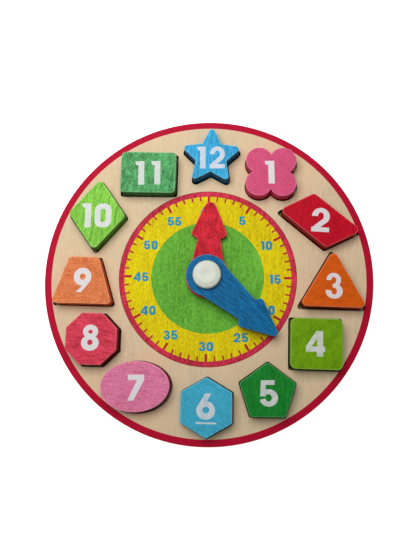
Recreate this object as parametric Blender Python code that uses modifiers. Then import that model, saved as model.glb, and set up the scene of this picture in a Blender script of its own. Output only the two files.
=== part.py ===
"""Clock shape sorter: a round wooden board with twelve shaped blocks in sockets and two turning hands.

Metres, +Z up out of the clock face, +Y to twelve o'clock, +X to three o'clock.
The origin is the centre of the board's underside.
Run with: blender --background --python part.py
"""

import math

import bmesh
import bpy
from mathutils import Matrix, Vector

MM = 0.001

# Boards
BACK_BOARD_THICKNESS = 3.0 * MM
BACK_BOARD_EDGE_ROUND = 1.0 * MM
FACE_BOARD_THICKNESS = 7.0 * MM
FACE_BOARD_EDGE_ROUND = 0.8 * MM
GLUE_LINE = 0.3 * MM

# Blocks and their sockets, twelve on a ring with a web of wood between neighbours and a rim outside them
SOCKET_COUNT = 12
BLOCK_SPAN = 40.0 * MM
BLOCK_THICKNESS = 15.5 * MM
BLOCK_EDGE_ROUND = 0.7 * MM
SOCKET_CLEARANCE = 0.9 * MM
SOCKET_CORNER_RADIUS = 1.8 * MM
SOCKET_WEB = 2.18 * MM
RIM_WIDTH = 5.3 * MM
SEAT_GAP = 0.3 * MM
SOCKET_RING_RADIUS = SOCKET_COUNT * (BLOCK_SPAN + 2 * SOCKET_CLEARANCE + SOCKET_WEB) / math.tau
BOARD_RADIUS = SOCKET_RING_RADIUS + BLOCK_SPAN / 2 + SOCKET_CLEARANCE + RIM_WIDTH

# Block outlines as shares of the block span, so that the set keeps fitting its ring
CLOVER_LOBE_RADIUS_SHARE = 0.2275
CLOVER_LOBE_OFFSET_SHARE = 0.199
PARALLELOGRAM_LENGTH_SHARE = 1.0
PARALLELOGRAM_SIDE_SHARE = 0.66
PARALLELOGRAM_ANGLE = math.radians(66)
TRIANGLE_SIDE_SHARE = 1.11
SQUARE_WIDTH_SHARE = 0.835
SQUARE_HEIGHT_SHARE = 0.815
PENTAGON_RADIUS_SHARE = 0.474
HEXAGON_RADIUS_SHARE = 0.475
OVAL_LENGTH_SHARE = 1.115
OVAL_WIDTH_SHARE = 0.805
OCTAGON_RADIUS_SHARE = 0.455
TRAPEZOID_BASE_SHARE = 1.015
TRAPEZOID_TOP_SHARE = 0.5
TRAPEZOID_HEIGHT_SHARE = 0.785
RHOMBUS_WIDTH_SHARE = 0.975
RHOMBUS_HEIGHT_SHARE = 1.245
RECTANGLE_WIDTH_SHARE = 0.94
RECTANGLE_HEIGHT_SHARE = 0.7175
STAR_RADIUS_SHARE = 0.56
STAR_INNER_RADIUS_SHARE = 0.275

# Corner roundings of the blocks
PARALLELOGRAM_CORNER = 3.0 * MM
TRIANGLE_CORNER = 3.0 * MM
SQUARE_CORNER = 3.8 * MM
PENTAGON_CORNER = 1.6 * MM
HEXAGON_CORNER = 1.6 * MM
OCTAGON_CORNER = 1.4 * MM
TRAPEZOID_CORNER = 2.5 * MM
RHOMBUS_CORNER = 3.1 * MM
RECTANGLE_CORNER = 3.0 * MM
STAR_TIP_ROUND = 2.2 * MM
STAR_INNER_ROUND = 0.8 * MM
STAR_SOCKET_TIP_ROUND = 2.8 * MM

# Places by hour from one to twelve: each socket's clock angle and its distance as a share of the ring radius
SOCKET_CLOCK_ANGLES = [30.7, 62.9, 95.1, 121.5, 151.75, 179.15, 211.25, 239.8, 267.2, 298.45, 329.7, 0.99]
SOCKET_RING_SHARES = [0.985, 0.993, 0.984, 0.993, 1.012, 1.0155, 1.018, 1.0195, 0.981, 1.018, 0.975, 0.973]

# Anticlockwise turn of each socket and the further turn of its block, in degrees
SOCKET_TURN_ANGLES = [-0.4, -39.7, -0.8, -0.7, 0.0, 0.0, 1.5, 0.0, -0.7, -2.4, -0.2, -0.9]
BLOCK_TURN_ANGLES = [-0.1, 0.2, -0.4, 0.0, 0.6, 0.0, 1.5, -0.6, -0.2, -0.5, -0.5, -0.4]

# Where each block lies in its socket, to the right and upwards, as shares of the clearance
LIE_SIDE_SHARES = [-0.35, 0.1, -0.1, -0.15, -0.4, -0.2, -0.6, -0.6, 0.15, 0.4, 0.1, -0.1]
LIE_UP_SHARES = [0.2, -0.1, 0.4, 0.0, 0.2, 0.4, 0.5, 0.4, -0.2, -0.1, -0.3, 0.45]

# Paint of each block
BLOCK_COLOURS = [
    (0.64, 0.10, 0.21),
    (0.42, 0.005, 0.024),
    (0.55, 0.10, 0.008),
    (0.12, 0.26, 0.004),
    (0.014, 0.16, 0.026),
    (0.046, 0.30, 0.43),
    (0.67, 0.16, 0.28),
    (0.64, 0.074, 0.11),
    (0.86, 0.24, 0.10),
    (0.22, 0.53, 0.08),
    (0.13, 0.41, 0.17),
    (0.08, 0.44, 0.73),
]

# Pivot: a moulded cap whose shank snaps into a flanged sleeve
SLEEVE_RADIUS = 4.8 * MM
SLEEVE_WALL = 0.8 * MM
FLANGE_RADIUS = 8.0 * MM
FLANGE_THICKNESS = 2.0 * MM
BORE_CLEARANCE = 0.3 * MM
COUNTERBORE_CLEARANCE = 0.4 * MM
CAP_RADIUS = 9.3 * MM
CAP_HEIGHT = 4.4 * MM
CAP_TOP_ROUND = 1.9 * MM
CAP_BOTTOM_ROUND = 0.5 * MM
CAP_CROWN = 0.5 * MM
CAP_DIMPLE_RADIUS = 5.2 * MM
CAP_DIMPLE_DEPTH = 0.45 * MM
SHANK_LEAD_IN = 0.6 * MM

# Hands: the minute hand sweeps clear of the sockets, and the hour hand is shorter than it by a step
HAND_THICKNESS = 3.8 * MM
HAND_GAP = 0.5 * MM
HAND_EDGE_ROUND = 0.5 * MM
HAND_SHOULDER_ROUND = 2.2 * MM
HAND_NOTCH_ROUND = 0.6 * MM
HAND_HOLE_CLEARANCE = 0.4 * MM
HAND_BARB_LENGTH = 3.0 * MM
HAND_SWEEP_CLEARANCE = 0.4 * MM
HOUR_HAND_STEP = 8.5 * MM
HOUR_HUB_RADIUS = 14.6 * MM
HOUR_NECK_SHARE = 0.733
HOUR_NOTCH_HALF_WIDTH = 7.6 * MM
HOUR_SHOULDER_HALF_WIDTH = 12.4 * MM
HOUR_HEAD_LENGTH = 22.7 * MM
HOUR_POINT_ROUND = 4.0 * MM
MINUTE_HUB_RADIUS = 13.9 * MM
MINUTE_NECK_SHARE = 0.892
MINUTE_NOTCH_HALF_WIDTH = 8.3 * MM
MINUTE_SHOULDER_HALF_WIDTH = 12.2 * MM
MINUTE_HEAD_LENGTH = 22.4 * MM
MINUTE_POINT_ROUND = 2.5 * MM
HOUR_HAND_CLOCK_ANGLE = math.radians(1.6)
MINUTE_HAND_CLOCK_ANGLE = math.radians(130.0)

# Modelling
CUT_OVERRUN = 1.0 * MM
WELD_DISTANCE = 0.001 * MM
BOARD_FACETS = 120
TURNED_FACETS = 40
CORNER_FACETS = 4
ROUND_FACETS = 48
BOARD_EDGE_FACETS = 3
DIMPLE_STEPS = 4
CROWN_STEPS = 2
RIM_STEPS = 4
FOOT_STEPS = 2
SMOOTH_ANGLE = math.radians(35)

# Stack of heights above the underside
FACE_BOARD_BOTTOM = BACK_BOARD_THICKNESS + GLUE_LINE
FACE_HEIGHT = FACE_BOARD_BOTTOM + FACE_BOARD_THICKNESS
BLOCK_BOTTOM = BACK_BOARD_THICKNESS + SEAT_GAP
HOUR_HAND_BOTTOM = FACE_HEIGHT + HAND_GAP
MINUTE_HAND_BOTTOM = HOUR_HAND_BOTTOM + HAND_THICKNESS + HAND_GAP
CAP_BOTTOM = MINUTE_HAND_BOTTOM + HAND_THICKNESS + HAND_GAP
FLANGE_BOTTOM = BACK_BOARD_THICKNESS + SEAT_GAP


def rounded(corners, radii):
    """Outline through the corners, each replaced by a tangent arc of its radius, or kept where it is zero."""
    outline = []
    count = len(corners)
    for index, radius in enumerate(radii):
        corner = Vector(corners[index])
        if radius == 0:
            outline.append(corner)
            continue
        before = (Vector(corners[index - 1]) - corner).normalized()
        after = (Vector(corners[(index + 1) % count]) - corner).normalized()
        half_angle = before.angle(after) / 2
        centre = corner + (before + after).normalized() * radius / math.sin(half_angle)
        start = corner + before * radius / math.tan(half_angle) - centre
        sweep = math.pi - 2 * half_angle
        if before.cross(after) > 0:
            sweep = -sweep
        for step in range(CORNER_FACETS + 1):
            outline.append(centre + Matrix.Rotation(sweep * step / CORNER_FACETS, 2) @ start)
    return outline


def grown(corners, distance):
    """The corners of a polygon, listed anticlockwise, after each side moves outwards by the distance."""
    moved = []
    count = len(corners)
    for index in range(count):
        corner = Vector(corners[index])
        arriving = (corner - Vector(corners[index - 1])).normalized()
        leaving = (Vector(corners[(index + 1) % count]) - corner).normalized()
        normal_in = Vector((arriving.y, -arriving.x))
        normal_out = Vector((leaving.y, -leaving.x))
        mitre = (normal_in + normal_out).normalized()
        moved.append(corner + mitre * distance / mitre.dot(normal_in))
    return moved


def polygon_outline(corners, radii, clearance, socket_radius=SOCKET_CORNER_RADIUS):
    """A block's rounded outline, or with a clearance the outline of the socket that takes it."""
    if clearance == 0:
        return rounded(corners, radii)
    return rounded(grown(corners, clearance), [min(radius + clearance, socket_radius) for radius in radii])


def regular_corners(count, radius, first_angle):
    """Corners of a regular polygon, anticlockwise."""
    angles = [first_angle + math.tau * index / count for index in range(count)]
    return [(radius * math.cos(angle), radius * math.sin(angle)) for angle in angles]


def box_corners(width, height):
    """Corners of a rectangle about the origin, anticlockwise."""
    across = width / 2
    up = height / 2
    return [(-across, -up), (across, -up), (across, up), (-across, up)]


def clover(clearance):
    """Four overlapping round lobes that meet in notches on the axes."""
    offset = BLOCK_SPAN * CLOVER_LOBE_OFFSET_SHARE
    lobe = BLOCK_SPAN * CLOVER_LOBE_RADIUS_SHARE + clearance
    reach = math.atan2(-offset, math.sqrt(lobe**2 - offset**2))
    sweep = math.pi / 2 - 2 * reach
    facets = ROUND_FACETS // 4
    outline = []
    for quarter in range(4):
        turn = Matrix.Rotation(quarter * math.pi / 2, 2)
        for step in range(facets):
            angle = reach + sweep * step / facets
            on_lobe = Vector((math.cos(angle), math.sin(angle))) * lobe
            outline.append(turn @ (Vector((offset, offset)) + on_lobe))
    return outline


def parallelogram(clearance):
    """A parallelogram with its long sides level and its acute corners lower left and upper right."""
    half_length = BLOCK_SPAN * PARALLELOGRAM_LENGTH_SHARE / 2
    half_side = BLOCK_SPAN * PARALLELOGRAM_SIDE_SHARE / 2
    lean = half_side * math.cos(PARALLELOGRAM_ANGLE)
    rise = half_side * math.sin(PARALLELOGRAM_ANGLE)
    corners = [
        (-half_length - lean, -rise),
        (half_length - lean, -rise),
        (half_length + lean, rise),
        (-half_length + lean, rise),
    ]
    return polygon_outline(corners, [PARALLELOGRAM_CORNER] * 4, clearance)


def triangle(clearance):
    """An equilateral triangle, point up, about its centroid."""
    corners = regular_corners(3, BLOCK_SPAN * TRIANGLE_SIDE_SHARE / math.sqrt(3), math.pi / 2)
    return polygon_outline(corners, [TRIANGLE_CORNER] * 3, clearance)


def square(clearance):
    """A near square with well rounded corners."""
    corners = box_corners(BLOCK_SPAN * SQUARE_WIDTH_SHARE, BLOCK_SPAN * SQUARE_HEIGHT_SHARE)
    return polygon_outline(corners, [SQUARE_CORNER] * 4, clearance)


def pentagon(clearance):
    """A regular pentagon, point up."""
    corners = regular_corners(5, BLOCK_SPAN * PENTAGON_RADIUS_SHARE, math.pi / 2)
    return polygon_outline(corners, [PENTAGON_CORNER] * 5, clearance)


def hexagon(clearance):
    """A regular hexagon, point up."""
    corners = regular_corners(6, BLOCK_SPAN * HEXAGON_RADIUS_SHARE, math.pi / 2)
    return polygon_outline(corners, [HEXAGON_CORNER] * 6, clearance)


def oval(clearance):
    """A level ellipse."""
    half_length = BLOCK_SPAN * OVAL_LENGTH_SHARE / 2 + clearance
    half_width = BLOCK_SPAN * OVAL_WIDTH_SHARE / 2 + clearance
    angles = [math.tau * step / ROUND_FACETS for step in range(ROUND_FACETS)]
    return [(half_length * math.cos(angle), half_width * math.sin(angle)) for angle in angles]


def octagon(clearance):
    """A regular octagon, flat side up."""
    corners = regular_corners(8, BLOCK_SPAN * OCTAGON_RADIUS_SHARE, math.pi / 8)
    return polygon_outline(corners, [OCTAGON_CORNER] * 8, clearance)


def trapezoid(clearance):
    """An isosceles trapezoid on its long side."""
    half_base = BLOCK_SPAN * TRAPEZOID_BASE_SHARE / 2
    half_top = BLOCK_SPAN * TRAPEZOID_TOP_SHARE / 2
    half_height = BLOCK_SPAN * TRAPEZOID_HEIGHT_SHARE / 2
    corners = [
        (-half_base, -half_height),
        (half_base, -half_height),
        (half_top, half_height),
        (-half_top, half_height),
    ]
    return polygon_outline(corners, [TRAPEZOID_CORNER] * 4, clearance)


def rhombus(clearance):
    """A rhombus that stands on a point."""
    half_width = BLOCK_SPAN * RHOMBUS_WIDTH_SHARE / 2
    half_height = BLOCK_SPAN * RHOMBUS_HEIGHT_SHARE / 2
    corners = [(0, -half_height), (half_width, 0), (0, half_height), (-half_width, 0)]
    return polygon_outline(corners, [RHOMBUS_CORNER] * 4, clearance)


def rectangle(clearance):
    """A level rectangle."""
    corners = box_corners(BLOCK_SPAN * RECTANGLE_WIDTH_SHARE, BLOCK_SPAN * RECTANGLE_HEIGHT_SHARE)
    return polygon_outline(corners, [RECTANGLE_CORNER] * 4, clearance)


def star(clearance):
    """A five-pointed star, point up."""
    tips = regular_corners(5, BLOCK_SPAN * STAR_RADIUS_SHARE, math.pi / 2)
    valleys = regular_corners(5, BLOCK_SPAN * STAR_INNER_RADIUS_SHARE, math.pi / 2 + math.pi / 5)
    corners = [corner for pair in zip(tips, valleys) for corner in pair]
    return polygon_outline(corners, [STAR_TIP_ROUND, STAR_INNER_ROUND] * 5, clearance, STAR_SOCKET_TIP_ROUND)


# The blocks by hour from one to twelve, each with the function that draws it
BLOCKS = [
    ("block_01_clover", clover),
    ("block_02_parallelogram", parallelogram),
    ("block_03_triangle", triangle),
    ("block_04_square", square),
    ("block_05_pentagon", pentagon),
    ("block_06_hexagon", hexagon),
    ("block_07_oval", oval),
    ("block_08_octagon", octagon),
    ("block_09_trapezoid", trapezoid),
    ("block_10_rhombus", rhombus),
    ("block_11_rectangle", rectangle),
    ("block_12_star", star),
]


def make_collection(name):
    """A new collection under the scene's own."""
    collection = bpy.data.collections.new(name)
    bpy.context.scene.collection.children.link(collection)
    return collection


def make_material(name, colour, roughness):
    """A painted or moulded surface."""
    material = bpy.data.materials.new(name)
    material.use_nodes = True
    shader = material.node_tree.nodes["Principled BSDF"]
    shader.inputs["Base Color"].default_value = (*colour, 1.0)
    shader.inputs["Roughness"].default_value = roughness
    shader.inputs["Metallic"].default_value = 0.0
    return material


def add_object(name, mesh, collection, parent=None, material=None):
    """An object for the mesh, smooth where its facets turn little."""
    piece = bpy.data.objects.new(name, mesh)
    collection.objects.link(piece)
    piece.parent = parent
    if material:
        mesh.materials.append(material)
    mesh.shade_smooth()
    mesh.set_sharp_from_angle(angle=SMOOTH_ANGLE)
    return piece


def flat_mesh(name, outlines, thickness, edge_round):
    """A board cut to the outlines, inner ones being holes, centred on z = 0 and rounded along its edges."""
    curve = bpy.data.curves.new(name, "CURVE")
    curve.dimensions = "2D"
    curve.fill_mode = "BOTH"
    curve.extrude = thickness / 2 - edge_round
    curve.bevel_depth = edge_round
    curve.bevel_resolution = 1
    curve.offset = -edge_round
    for outline in outlines:
        spline = curve.splines.new("POLY")
        spline.points.add(len(outline) - 1)
        for point, place in zip(spline.points, outline):
            point.co = (place[0], place[1], 0, 1)
        spline.use_cyclic_u = True
    drawn = bpy.data.objects.new(name, curve)
    bpy.context.scene.collection.objects.link(drawn)
    evaluated = drawn.evaluated_get(bpy.context.evaluated_depsgraph_get())
    mesh = bpy.data.meshes.new_from_object(evaluated)
    bpy.data.objects.remove(drawn)
    bpy.data.curves.remove(curve)
    mesh.name = name
    shape = bmesh.new()
    shape.from_mesh(mesh)
    bmesh.ops.remove_doubles(shape, verts=shape.verts, dist=WELD_DISTANCE)
    bmesh.ops.recalc_face_normals(shape, faces=shape.faces)
    shape.to_mesh(mesh)
    shape.free()
    return mesh


def circle(radius, facets):
    """Points round a circle about the origin."""
    return regular_corners(facets, radius, 0)


def disc_mesh(name, thickness, round_top, edge_round):
    """A disc from z = 0 up, with one of its rims rounded."""
    shape = bmesh.new()
    bmesh.ops.create_cone(
        shape,
        cap_ends=True,
        segments=BOARD_FACETS,
        radius1=BOARD_RADIUS,
        radius2=BOARD_RADIUS,
        depth=thickness,
        matrix=Matrix.Translation((0, 0, thickness / 2)),
    )
    middle = thickness / 2
    rim = [edge for edge in shape.edges if all((vert.co.z > middle) == round_top for vert in edge.verts)]
    bmesh.ops.bevel(
        shape,
        geom=rim,
        offset=edge_round,
        segments=BOARD_EDGE_FACETS,
        profile=0.5,
        affect="EDGES",
    )
    mesh = bpy.data.meshes.new(name)
    shape.to_mesh(mesh)
    shape.free()
    return mesh


def turned_object(name, profile, closed, collection, parent, material):
    """A piece turned about z from a profile of (radius, height) points that runs down its outer side."""
    mesh = bpy.data.meshes.new(name)
    places = [(radius, 0, height) for radius, height in profile]
    edges = [(index, index + 1) for index in range(len(places) - 1)]
    if closed:
        edges.append((len(places) - 1, 0))
    mesh.from_pydata(places, edges, [])
    piece = bpy.data.objects.new(name, mesh)
    collection.objects.link(piece)
    piece.parent = parent
    mesh.materials.append(material)
    screw = piece.modifiers.new("turn", "SCREW")
    screw.axis = "Z"
    screw.steps = TURNED_FACETS
    screw.render_steps = TURNED_FACETS
    screw.use_merge_vertices = True
    screw.merge_threshold = WELD_DISTANCE
    screw.use_smooth_shade = True
    return piece


def arc(centre, radius, start, end, facets):
    """Points of a (radius, height) arc from the start angle to the end angle."""
    angles = [start + (end - start) * step / facets for step in range(facets + 1)]
    return [(centre[0] + radius * math.cos(angle), centre[1] + radius * math.sin(angle)) for angle in angles]


def socket_place(hour):
    """Centre of a socket, counted from zero at one o'clock."""
    angle = math.radians(SOCKET_CLOCK_ANGLES[hour])
    distance = SOCKET_RING_RADIUS * SOCKET_RING_SHARES[hour]
    return Vector((distance * math.sin(angle), distance * math.cos(angle)))


def origin_distance(start, end):
    """Distance from the origin to the straight stretch between two points."""
    along = end - start
    share = min(max(-start.dot(along) / along.length_squared, 0), 1)
    return (start + along * share).length


def dial_radius():
    """Radius of the largest circle about the pivot that stays clear of every socket."""
    distances = []
    for hour, (_, outline) in enumerate(BLOCKS):
        turn = Matrix.Rotation(math.radians(SOCKET_TURN_ANGLES[hour]), 2)
        edge = [turn @ Vector(point) + socket_place(hour) for point in outline(SOCKET_CLEARANCE)]
        distances += [origin_distance(edge[index - 1], point) for index, point in enumerate(edge)]
    return min(distances)


def add_cutter(name, mesh, place, turn, collection):
    """A cutting tool, kept out of the render."""
    cutter = bpy.data.objects.new(name, mesh)
    collection.objects.link(cutter)
    cutter.location = place
    cutter.rotation_euler.z = turn
    cutter.hide_render = True
    cutter.display_type = "WIRE"
    return cutter


def make_socket_cutters(collection):
    """Twelve tools that cut the sockets right through the face board."""
    depth = FACE_BOARD_THICKNESS + 2 * CUT_OVERRUN
    middle = FACE_BOARD_BOTTOM + FACE_BOARD_THICKNESS / 2
    for hour, (name, outline) in enumerate(BLOCKS):
        mesh = flat_mesh(name + "_cutter", [outline(SOCKET_CLEARANCE)], depth, 0)
        place = socket_place(hour)
        turn = math.radians(SOCKET_TURN_ANGLES[hour])
        add_cutter(name + "_cutter", mesh, (place.x, place.y, middle), turn, collection)


def make_pivot_cutters(collection):
    """The hole for the sleeve, and the counterbore that sinks its flange into the back of the face board."""
    facets = TURNED_FACETS
    hole_radius = SLEEVE_RADIUS + BORE_CLEARANCE
    hole_depth = FACE_BOARD_THICKNESS + 2 * CUT_OVERRUN
    hole = flat_mesh("sleeve_hole", [circle(hole_radius, facets)], hole_depth, 0)
    add_cutter("sleeve_hole", hole, (0, 0, FACE_BOARD_BOTTOM + FACE_BOARD_THICKNESS / 2), 0, collection)
    bore_radius = FLANGE_RADIUS + COUNTERBORE_CLEARANCE
    bore_top = FLANGE_BOTTOM + FLANGE_THICKNESS + SEAT_GAP
    bore_bottom = FACE_BOARD_BOTTOM - CUT_OVERRUN
    bore = flat_mesh("counterbore", [circle(bore_radius, facets)], bore_top - bore_bottom, 0)
    add_cutter("counterbore", bore, (0, 0, (bore_top + bore_bottom) / 2), 0, collection)


def make_boards(parts, cutters, parent):
    """The drilled face board and the plain back board glued under it."""
    plywood = make_material("face_plywood", (0.72, 0.55, 0.37), 0.6)
    backing = make_material("back_plywood", (0.68, 0.52, 0.35), 0.7)
    face_mesh = disc_mesh("face_board", FACE_BOARD_THICKNESS, True, FACE_BOARD_EDGE_ROUND)
    face_board = add_object("face_board", face_mesh, parts, parent, plywood)
    face_board.location.z = FACE_BOARD_BOTTOM
    cut = face_board.modifiers.new("sockets_and_hole", "BOOLEAN")
    cut.operation = "DIFFERENCE"
    cut.solver = "EXACT"
    cut.operand_type = "COLLECTION"
    cut.collection = cutters
    back_mesh = disc_mesh("back_board", BACK_BOARD_THICKNESS, False, BACK_BOARD_EDGE_ROUND)
    add_object("back_board", back_mesh, parts, parent, backing)


def make_blocks(parts, parent):
    """Twelve numbered blocks, each lying a little off the middle of its socket."""
    for hour, (name, outline) in enumerate(BLOCKS):
        mesh = flat_mesh(name, [outline(0)], BLOCK_THICKNESS, BLOCK_EDGE_ROUND)
        paint = make_material(name + "_paint", BLOCK_COLOURS[hour], 0.45)
        block = add_object(name, mesh, parts, parent, paint)
        place = socket_place(hour) + SOCKET_CLEARANCE * Vector((LIE_SIDE_SHARES[hour], LIE_UP_SHARES[hour]))
        block.location = (place.x, place.y, BLOCK_BOTTOM + BLOCK_THICKNESS / 2)
        block.rotation_euler.z = math.radians(SOCKET_TURN_ANGLES[hour] + BLOCK_TURN_ANGLES[hour])


def apex_rise(half_width, head_length, point_round):
    """Height of an arrowhead's apex over its shoulders, where the straight sides would meet.

    The point's rounding ends at the head's length. With r for the rounding, w for the half width, k = r / w
    and c = length - r, the rise u solves r * sqrt(w^2 + u^2) / w = u - c.
    """
    slope = point_round / half_width
    straight = head_length - point_round
    root = math.sqrt(slope**2 * (straight**2 - point_round**2) + point_round**2)
    return (straight + root) / (1 - slope**2)


def hand_outline(hub, neck, notch, shoulder, head_length, reach, point_round):
    """A hand along +Y: round hub, tapering neck, barbed arrowhead with a rounded point.

    The neck, notch and shoulder are half widths where the sides leave the hub, at the foot of the barbs and
    at the head's widest place. The reach is the distance of the point from the pivot.
    """
    leave_distance = math.sqrt(hub**2 - neck**2)
    shoulder_distance = reach - head_length
    apex = shoulder_distance + apex_rise(shoulder, head_length, point_round)
    notch_distance = shoulder_distance - HAND_BARB_LENGTH
    right = [(neck, leave_distance), (notch, notch_distance), (shoulder, shoulder_distance)]
    left = [(-half_width, distance) for half_width, distance in reversed(right)]
    right_radii = [0, HAND_NOTCH_ROUND, HAND_SHOULDER_ROUND]
    head = rounded([*right, (0, apex), *left], [*right_radii, point_round, *reversed(right_radii)])
    start = math.atan2(leave_distance, -neck)
    end = math.atan2(leave_distance, neck) + math.tau
    hub_arc = arc((0, 0), hub, start, end, ROUND_FACETS // 2)
    return head + hub_arc[1:-1]


def make_hands(parts, parent):
    """The two hands, each with its origin on the pivot."""
    hole = circle(SLEEVE_RADIUS + HAND_HOLE_CLEARANCE, TURNED_FACETS)
    minute_reach = dial_radius() - HAND_SWEEP_CLEARANCE
    hour_outline = hand_outline(
        HOUR_HUB_RADIUS,
        HOUR_HUB_RADIUS * HOUR_NECK_SHARE,
        HOUR_NOTCH_HALF_WIDTH,
        HOUR_SHOULDER_HALF_WIDTH,
        HOUR_HEAD_LENGTH,
        minute_reach - HOUR_HAND_STEP,
        HOUR_POINT_ROUND,
    )
    minute_outline = hand_outline(
        MINUTE_HUB_RADIUS,
        MINUTE_HUB_RADIUS * MINUTE_NECK_SHARE,
        MINUTE_NOTCH_HALF_WIDTH,
        MINUTE_SHOULDER_HALF_WIDTH,
        MINUTE_HEAD_LENGTH,
        minute_reach,
        MINUTE_POINT_ROUND,
    )
    hour_paint = make_material("hour_hand_paint", (0.58, 0.023, 0.052), 0.45)
    minute_paint = make_material("minute_hand_paint", (0.004, 0.156, 0.376), 0.45)
    rows = [
        ("hour_hand", hour_outline, HOUR_HAND_BOTTOM, HOUR_HAND_CLOCK_ANGLE, hour_paint),
        ("minute_hand", minute_outline, MINUTE_HAND_BOTTOM, MINUTE_HAND_CLOCK_ANGLE, minute_paint),
    ]
    for name, outline, bottom, clock_angle, paint in rows:
        mesh = flat_mesh(name, [outline, hole], HAND_THICKNESS, HAND_EDGE_ROUND)
        hand = add_object(name, mesh, parts, parent, paint)
        hand.location.z = bottom + HAND_THICKNESS / 2
        hand.rotation_euler.z = -clock_angle


def cap_profile():
    """Half section of the pivot cap: dimpled crown, rounded rim, flat underside, shank with a lead-in."""
    top = CAP_BOTTOM + CAP_HEIGHT
    profile = []
    for step in range(DIMPLE_STEPS):
        share = step / DIMPLE_STEPS
        drop = CAP_DIMPLE_DEPTH * (math.cos(math.pi * share) + 1) / 2
        profile.append((CAP_DIMPLE_RADIUS * share, top - drop))
    crown_end = CAP_RADIUS - CAP_TOP_ROUND
    for step in range(CROWN_STEPS):
        share = step / CROWN_STEPS
        radius = CAP_DIMPLE_RADIUS + (crown_end - CAP_DIMPLE_RADIUS) * share
        profile.append((radius, top - CAP_CROWN * share**2))
    rim_top = top - CAP_CROWN - CAP_TOP_ROUND
    profile += arc((crown_end, rim_top), CAP_TOP_ROUND, math.pi / 2, 0, RIM_STEPS)
    foot = (CAP_RADIUS - CAP_BOTTOM_ROUND, CAP_BOTTOM + CAP_BOTTOM_ROUND)
    profile += arc(foot, CAP_BOTTOM_ROUND, 0, -math.pi / 2, FOOT_STEPS)
    shank = SLEEVE_RADIUS - SLEEVE_WALL - BORE_CLEARANCE
    shank_end = FLANGE_BOTTOM + SEAT_GAP
    profile += [(shank, CAP_BOTTOM), (shank, shank_end + SHANK_LEAD_IN), (shank - SHANK_LEAD_IN, shank_end)]
    profile.append((0, shank_end))
    return profile


def sleeve_profile():
    """Closed section of the flanged sleeve that the hands turn on."""
    bore = SLEEVE_RADIUS - SLEEVE_WALL
    top = CAP_BOTTOM - SEAT_GAP
    flange_top = FLANGE_BOTTOM + FLANGE_THICKNESS
    return [
        (bore, top),
        (SLEEVE_RADIUS, top),
        (SLEEVE_RADIUS, flange_top),
        (FLANGE_RADIUS, flange_top),
        (FLANGE_RADIUS, FLANGE_BOTTOM),
        (bore, FLANGE_BOTTOM),
    ]


def make_pivot(parts, parent):
    """The cap on top of the hands and the sleeve hidden in the board."""
    cap_plastic = make_material("cap_plastic", (0.75, 0.75, 0.65), 0.25)
    sleeve_plastic = make_material("sleeve_plastic", (0.72, 0.72, 0.66), 0.35)
    turned_object("pivot_cap", cap_profile(), False, parts, parent, cap_plastic)
    turned_object("pivot_sleeve", sleeve_profile(), True, parts, parent, sleeve_plastic)


def main():
    """Clear the scene and build the clock."""
    for leftover in list(bpy.data.objects):
        bpy.data.objects.remove(leftover, do_unlink=True)
    parts = make_collection("clock_shape_sorter")
    cutters = make_collection("cutters")
    clock = bpy.data.objects.new("clock_origin", None)
    parts.objects.link(clock)
    make_socket_cutters(cutters)
    make_pivot_cutters(cutters)
    make_boards(parts, cutters, clock)
    make_blocks(parts, clock)
    make_hands(parts, clock)
    make_pivot(parts, clock)


main()
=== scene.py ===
"""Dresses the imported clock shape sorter: plywood, prints, painted blocks and hands, moulded cap, plain stage.

Metres, +Z up out of the clock face, +Y to twelve o'clock, +X to three o'clock.
"""

import math

import bpy
import numpy as np
from bpy.props import FloatProperty, FloatVectorProperty, PointerProperty
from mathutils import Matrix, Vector
from mathutils.geometry import delaunay_2d_cdt


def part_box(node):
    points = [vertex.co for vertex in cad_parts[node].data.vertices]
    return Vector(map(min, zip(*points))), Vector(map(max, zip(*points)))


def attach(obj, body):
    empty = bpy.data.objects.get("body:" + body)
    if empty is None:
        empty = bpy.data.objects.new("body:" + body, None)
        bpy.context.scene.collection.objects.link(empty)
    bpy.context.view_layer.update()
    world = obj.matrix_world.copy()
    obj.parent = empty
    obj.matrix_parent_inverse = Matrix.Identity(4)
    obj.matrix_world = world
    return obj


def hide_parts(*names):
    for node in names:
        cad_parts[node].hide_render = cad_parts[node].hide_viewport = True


bl_info = {
    "name": "Clock shape sorter looks",
    "version": (1, 0, 0),
    "blender": (4, 5, 0),
    "location": "3D View > Sidebar > Clock",
    "description": "Paints, prints and stages the packed clock shape sorter",
    "category": "Object",
}

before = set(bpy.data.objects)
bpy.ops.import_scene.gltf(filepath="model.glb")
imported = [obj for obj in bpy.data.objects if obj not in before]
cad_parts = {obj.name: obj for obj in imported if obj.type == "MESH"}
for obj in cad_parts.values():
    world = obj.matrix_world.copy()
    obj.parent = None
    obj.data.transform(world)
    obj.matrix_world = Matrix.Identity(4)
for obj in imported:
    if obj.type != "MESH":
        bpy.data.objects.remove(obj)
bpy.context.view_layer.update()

MM = 0.001

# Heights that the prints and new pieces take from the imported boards
FACE_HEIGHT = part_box("face_board")[1].z
BOARD_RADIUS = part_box("face_board")[1].x
GLUE_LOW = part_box("back_board")[1].z
GLUE_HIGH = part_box("face_board")[0].z
CAP_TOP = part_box("pivot_cap")[1].z
SHANK_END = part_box("pivot_cap")[0].z

# Roundings shared by both hands, and how far their barbs reach back
HAND_BARB = 3.0 * MM
SHOULDER_ROUND = 2.2 * MM
HAND_NOTCH_ROUND = 0.6 * MM
NECK_ROUND = 0.05 * MM

# Fineness of curves
CORNER_STEPS = 10
ROUND_STEPS = 96
CIRCLE_STEPS = 240
ROLL_STEPS = 6
DIGIT_ARC_STEPS = 28
NOTCH_STEP = 0.02
WELD = 1e-7
SMOOTH_ANGLE = math.radians(40)

# How far each print reaches into what carries it
PRINT_SINK = 0.02 * MM


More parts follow.
